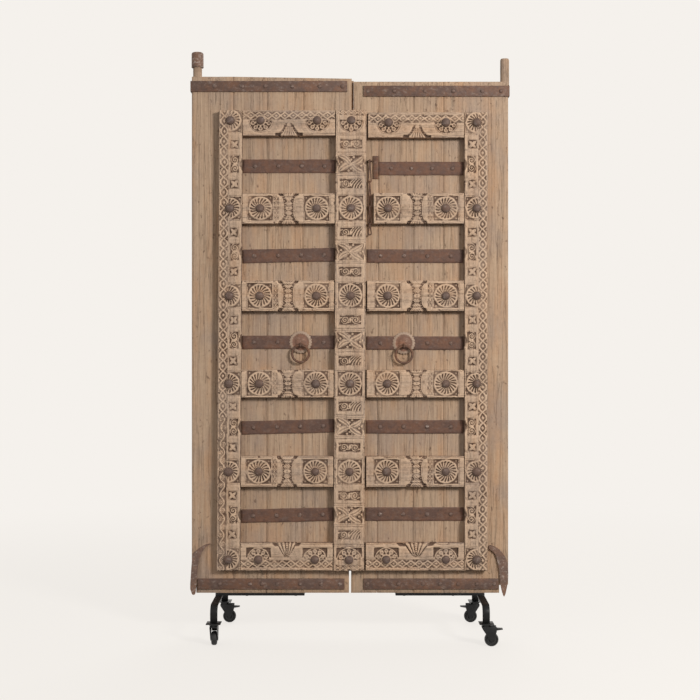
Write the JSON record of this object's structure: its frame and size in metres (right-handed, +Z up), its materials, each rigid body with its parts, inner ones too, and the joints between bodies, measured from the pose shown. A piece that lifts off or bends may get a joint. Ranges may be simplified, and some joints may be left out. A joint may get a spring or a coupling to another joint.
{
  "type": "haveli door",
  "caption": "Carved wooden haveli double door with iron straps, boss nails, ring pulls and a hasp chain, standing on a black steel rolling stand with braked casters.",
  "frame": {"origin": "on the floor, midway between the outer edges of the leaves and between front and rear casters", "axes": "+Z up, +X to the viewer's right, +Y towards the back, so the carved face looks towards -Y"},
  "size_m": [1.2775, 0.48, 2.3322],
  "materials": {
    "aged_wood": "weathered",
    "carved_wood": "weathered",
    "forged_iron": "rusty",
    "black_steel": "satin",
    "zinc_steel": "plated",
    "black_plastic": "matte",
    "grey_rubber": "matte"
  },
  "bodies": {
    "door": {"left_hinge_stile": "aged_wood", "right_hinge_stile": "aged_wood", "left_boards": "aged_wood", "right_boards": "aged_wood", "back_battens": "aged_wood", "left_carved_stile": "carved_wood", "centre_carved_stile": "carved_wood", "right_carved_stile": "carved_wood", "left_rail_1": "carved_wood", "left_rail_2": "carved_wood", "left_rail_3": "carved_wood", "left_rail_4": "carved_wood", "left_rail_5": "carved_wood", "left_rail_6": "carved_wood", "right_rail_1": "carved_wood", "right_rail_2": "carved_wood", "right_rail_3": "carved_wood", "right_rail_4": "carved_wood", "right_rail_5": "carved_wood", "right_rail_6": "carved_wood", "left_edge_straps": "forged_iron", "right_edge_straps": "forged_iron", "left_panel_straps": "forged_iron", "right_panel_straps": "forged_iron", "strap_nails": "forged_iron", "boss_nails": "forged_iron", "left_pivot_irons": "forged_iron", "right_pivot_horn": "forged_iron", "pull_plates": "forged_iron", "pull_eyes": "forged_iron", "chain_staple": "forged_iron", "chain_plate": "forged_iron", "left_stand": "black_steel", "right_stand": "black_steel", "joining_bars": "black_steel", "fixing_screws": "zinc_steel", "caster_plates": "zinc_steel"},
    "front_left_swivel": {"front_left_fork": "zinc_steel"},
    "front_left_roller": {"front_left_wheel": "grey_rubber"},
    "front_left_brake": {"front_left_pedal": "black_plastic"},
    "front_right_swivel": {"front_right_fork": "zinc_steel"},
    "front_right_roller": {"front_right_wheel": "grey_rubber"},
    "front_right_brake": {"front_right_pedal": "black_plastic"},
    "rear_left_swivel": {"rear_left_fork": "zinc_steel"},
    "rear_left_roller": {"rear_left_wheel": "grey_rubber"},
    "rear_left_brake": {"rear_left_pedal": "black_plastic"},
    "rear_right_swivel": {"rear_right_fork": "zinc_steel"},
    "rear_right_roller": {"rear_right_wheel": "grey_rubber"},
    "rear_right_brake": {"rear_right_pedal": "black_plastic"},
    "left_ring": {"left_pull_ring": "forged_iron"},
    "right_ring": {"right_pull_ring": "forged_iron"},
    "chain_1": {"chain_link_1": "forged_iron"},
    "chain_2": {"chain_link_2": "forged_iron"},
    "chain_3": {"chain_link_3": "forged_iron"},
    "chain_4": {"chain_link_4": "forged_iron"}
  },
  "joints": [
    {"name": "front_left_swivel_turn", "type": "hinge", "parent": "door", "child": "front_left_swivel", "pos_m": [-0.524, -0.212, 0.076], "axis": [0, 0, 1], "continuous": true},
    {"name": "front_left_wheel_roll", "type": "hinge", "parent": "front_left_swivel", "child": "front_left_roller", "pos_m": [-0.524, -0.192, 0.027], "axis": [-1, 0, 0], "continuous": true},
    {"name": "front_left_pedal_press", "type": "hinge", "parent": "front_left_swivel", "child": "front_left_brake", "pos_m": [-0.524, -0.178, 0.0645], "axis": [-1, 0, 0], "range_deg": [0, 14]},
    {"name": "front_right_swivel_turn", "type": "hinge", "parent": "door", "child": "front_right_swivel", "pos_m": [0.524, -0.212, 0.076], "axis": [0, 0, 1], "continuous": true},
    {"name": "front_right_wheel_roll", "type": "hinge", "parent": "front_right_swivel", "child": "front_right_roller", "pos_m": [0.544, -0.212, 0.027], "axis": [0, 1, 0], "continuous": true},
    {"name": "front_right_pedal_press", "type": "hinge", "parent": "front_right_swivel", "child": "front_right_brake", "pos_m": [0.558, -0.212, 0.0645], "axis": [0, 1, 0], "range_deg": [0, 14]},
    {"name": "rear_left_swivel_turn", "type": "hinge", "parent": "door", "child": "rear_left_swivel", "pos_m": [-0.524, 0.212, 0.076], "axis": [0, 0, 1], "continuous": true},
    {"name": "rear_left_wheel_roll", "type": "hinge", "parent": "rear_left_swivel", "child": "rear_left_roller", "pos_m": [-0.504, 0.212, 0.027], "axis": [0, 1, 0], "continuous": true},
    {"name": "rear_left_pedal_press", "type": "hinge", "parent": "rear_left_swivel", "child": "rear_left_brake", "pos_m": [-0.49, 0.212, 0.0645], "axis": [0, 1, 0], "range_deg": [0, 14]},
    {"name": "rear_right_swivel_turn", "type": "hinge", "parent": "door", "child": "rear_right_swivel", "pos_m": [0.524, 0.212, 0.076], "axis": [0, 0, 1], "continuous": true},
    {"name": "rear_right_wheel_roll", "type": "hinge", "parent": "rear_right_swivel", "child": "rear_right_roller", "pos_m": [0.504, 0.212, 0.027], "axis": [0, -1, 0], "continuous": true},
    {"name": "rear_right_pedal_press", "type": "hinge", "parent": "rear_right_swivel", "child": "rear_right_brake", "pos_m": [0.49, 0.212, 0.0645], "axis": [0, -1, 0], "range_deg": [0, 14]},
    {"name": "left_ring_swing", "type": "hinge", "parent": "door", "child": "left_ring", "pos_m": [-0.19736, -0.0395, 1.15814], "axis": [-1, 0, 0], "range_deg": [0, 100]},
    {"name": "right_ring_swing", "type": "hinge", "parent": "door", "child": "right_ring", "pos_m": [0.21496, -0.0395, 1.15484], "axis": [-1, 0, 0], "range_deg": [0, 100]},
    {"name": "chain_swing_1", "type": "hinge", "parent": "door", "child": "chain_1", "pos_m": [0.07881, -0.038, 1.893], "axis": [-1, 0, 0], "range_deg": [0, 60]},
    {"name": "chain_swing_2", "type": "hinge", "parent": "chain_1", "child": "chain_2", "pos_m": [0.07881, -0.038, 1.80745], "axis": [-1, 0, 0], "range_deg": [0, 45]},
    {"name": "chain_swing_3", "type": "hinge", "parent": "chain_2", "child": "chain_3", "pos_m": [0.07881, -0.038, 1.70863], "axis": [-1, 0, 0], "range_deg": [0, 45]},
    {"name": "chain_swing_4", "type": "hinge", "parent": "chain_3", "child": "chain_4", "pos_m": [0.07881, -0.038, 1.64078], "axis": [-1, 0, 0], "range_deg": [0, 45]}
  ]
}
